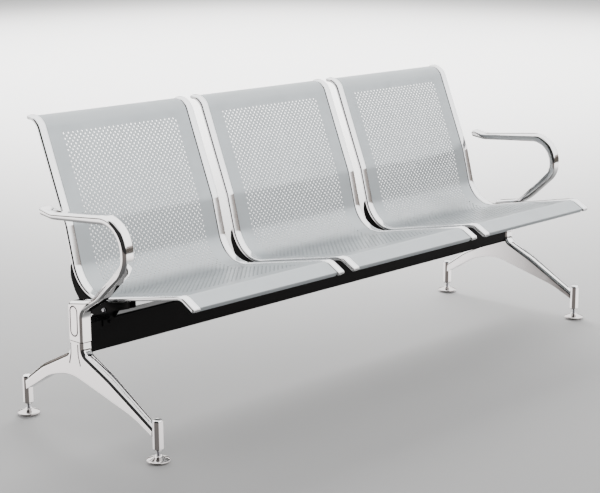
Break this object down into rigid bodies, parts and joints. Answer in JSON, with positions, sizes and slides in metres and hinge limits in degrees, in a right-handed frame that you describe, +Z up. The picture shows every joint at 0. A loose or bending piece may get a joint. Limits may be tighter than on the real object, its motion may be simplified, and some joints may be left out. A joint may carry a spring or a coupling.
{
  "type": "beam seating",
  "caption": "Waiting-area bench with separate perforated steel seats on one beam, cast metal end frames with open loop armrests, and screw-adjusted feet.",
  "frame": {"origin": "on the floor, below the middle of the bench's bounding box", "axes": "+X along the bench towards the sitter's left hand, +Y towards the back of the bench, +Z up; the front is -Y"},
  "size_m": [1.823, 0.623, 0.783],
  "materials": {
    "seat_shell": "satin silver powder coat",
    "side_rail": "bright chrome plate",
    "casting": "polished and chrome plated casting",
    "beam": "semi-gloss black powder coat",
    "seat_arm": "semi-gloss black powder coat",
    "saddle": "semi-gloss black powder coat",
    "bolt": "zinc plated",
    "foot_base": "bright chrome plate",
    "foot_stem": "zinc plated thread"
  },
  "bodies": {
    "bench": {"beam": "beam", "seat_shell_left": "seat_shell", "side_rail_left_seat_left": "side_rail", "seat_arm_left_seat_left": "seat_arm", "saddle_left_seat_left": "saddle", "side_rail_left_seat_right": "side_rail", "seat_arm_left_seat_right": "seat_arm", "saddle_left_seat_right": "saddle", "seat_shell_middle": "seat_shell", "side_rail_middle_seat_left": "side_rail", "seat_arm_middle_seat_left": "seat_arm", "saddle_middle_seat_left": "saddle", "side_rail_middle_seat_right": "side_rail", "seat_arm_middle_seat_right": "seat_arm", "saddle_middle_seat_right": "saddle", "seat_shell_right": "seat_shell", "side_rail_right_seat_left": "side_rail", "seat_arm_right_seat_left": "seat_arm", "saddle_right_seat_left": "saddle", "side_rail_right_seat_right": "side_rail", "seat_arm_right_seat_right": "seat_arm", "saddle_right_seat_right": "saddle", "armrest_casting_left": "casting", "leg_casting_left": "casting", "frame_bolt_left": "bolt", "armrest_casting_right": "casting", "leg_casting_right": "casting", "frame_bolt_right": "bolt"},
    "foot_base_front_left": {"foot_base_front_left": "foot_base"},
    "foot_stem_front_left": {"foot_stem_front_left": "foot_stem"},
    "foot_base_rear_left": {"foot_base_rear_left": "foot_base"},
    "foot_stem_rear_left": {"foot_stem_rear_left": "foot_stem"},
    "foot_base_front_right": {"foot_base_front_right": "foot_base"},
    "foot_stem_front_right": {"foot_stem_front_right": "foot_stem"},
    "foot_base_rear_right": {"foot_base_rear_right": "foot_base"},
    "foot_stem_rear_right": {"foot_stem_rear_right": "foot_stem"}
  },
  "joints": [
    {"name": "foot_height_front_left", "type": "slide", "parent": "bench", "child": "foot_base_front_left", "axis": [0, 0, 1], "range_m": [-0.014, 0.006]},
    {"name": "stem_turn_front_left", "type": "hinge", "parent": "foot_base_front_left", "child": "foot_stem_front_left", "pos_m": [-0.8825, -0.2355, 0.04], "axis": [0, 0, 1], "range_deg": [-3400, 1460]},
    {"name": "foot_height_rear_left", "type": "slide", "parent": "bench", "child": "foot_base_rear_left", "axis": [0, 0, 1], "range_m": [-0.014, 0.006]},
    {"name": "stem_turn_rear_left", "type": "hinge", "parent": "foot_base_rear_left", "child": "foot_stem_rear_left", "pos_m": [-0.8825, 0.2815, 0.04], "axis": [0, 0, 1], "range_deg": [-3400, 1460]},
    {"name": "foot_height_front_right", "type": "slide", "parent": "bench", "child": "foot_base_front_right", "axis": [0, 0, 1], "range_m": [-0.014, 0.006]},
    {"name": "stem_turn_front_right", "type": "hinge", "parent": "foot_base_front_right", "child": "foot_stem_front_right", "pos_m": [0.8825, -0.2355, 0.04], "axis": [0, 0, 1], "range_deg": [-3400, 1460]},
    {"name": "foot_height_rear_right", "type": "slide", "parent": "bench", "child": "foot_base_rear_right", "axis": [0, 0, 1], "range_m": [-0.014, 0.006]},
    {"name": "stem_turn_rear_right", "type": "hinge", "parent": "foot_base_rear_right", "child": "foot_stem_rear_right", "pos_m": [0.8825, 0.2815, 0.04], "axis": [0, 0, 1], "range_deg": [-3400, 1460]}
  ],
  "couplings": [
    {"joint": "stem_turn_front_left", "follows": "foot_height_front_left", "rad_per_m": 4188.8},
    {"joint": "stem_turn_rear_left", "follows": "foot_height_rear_left", "rad_per_m": 4188.8},
    {"joint": "stem_turn_front_right", "follows": "foot_height_front_right", "rad_per_m": 4188.8},
    {"joint": "stem_turn_rear_right", "follows": "foot_height_rear_right", "rad_per_m": 4188.8}
  ]
}
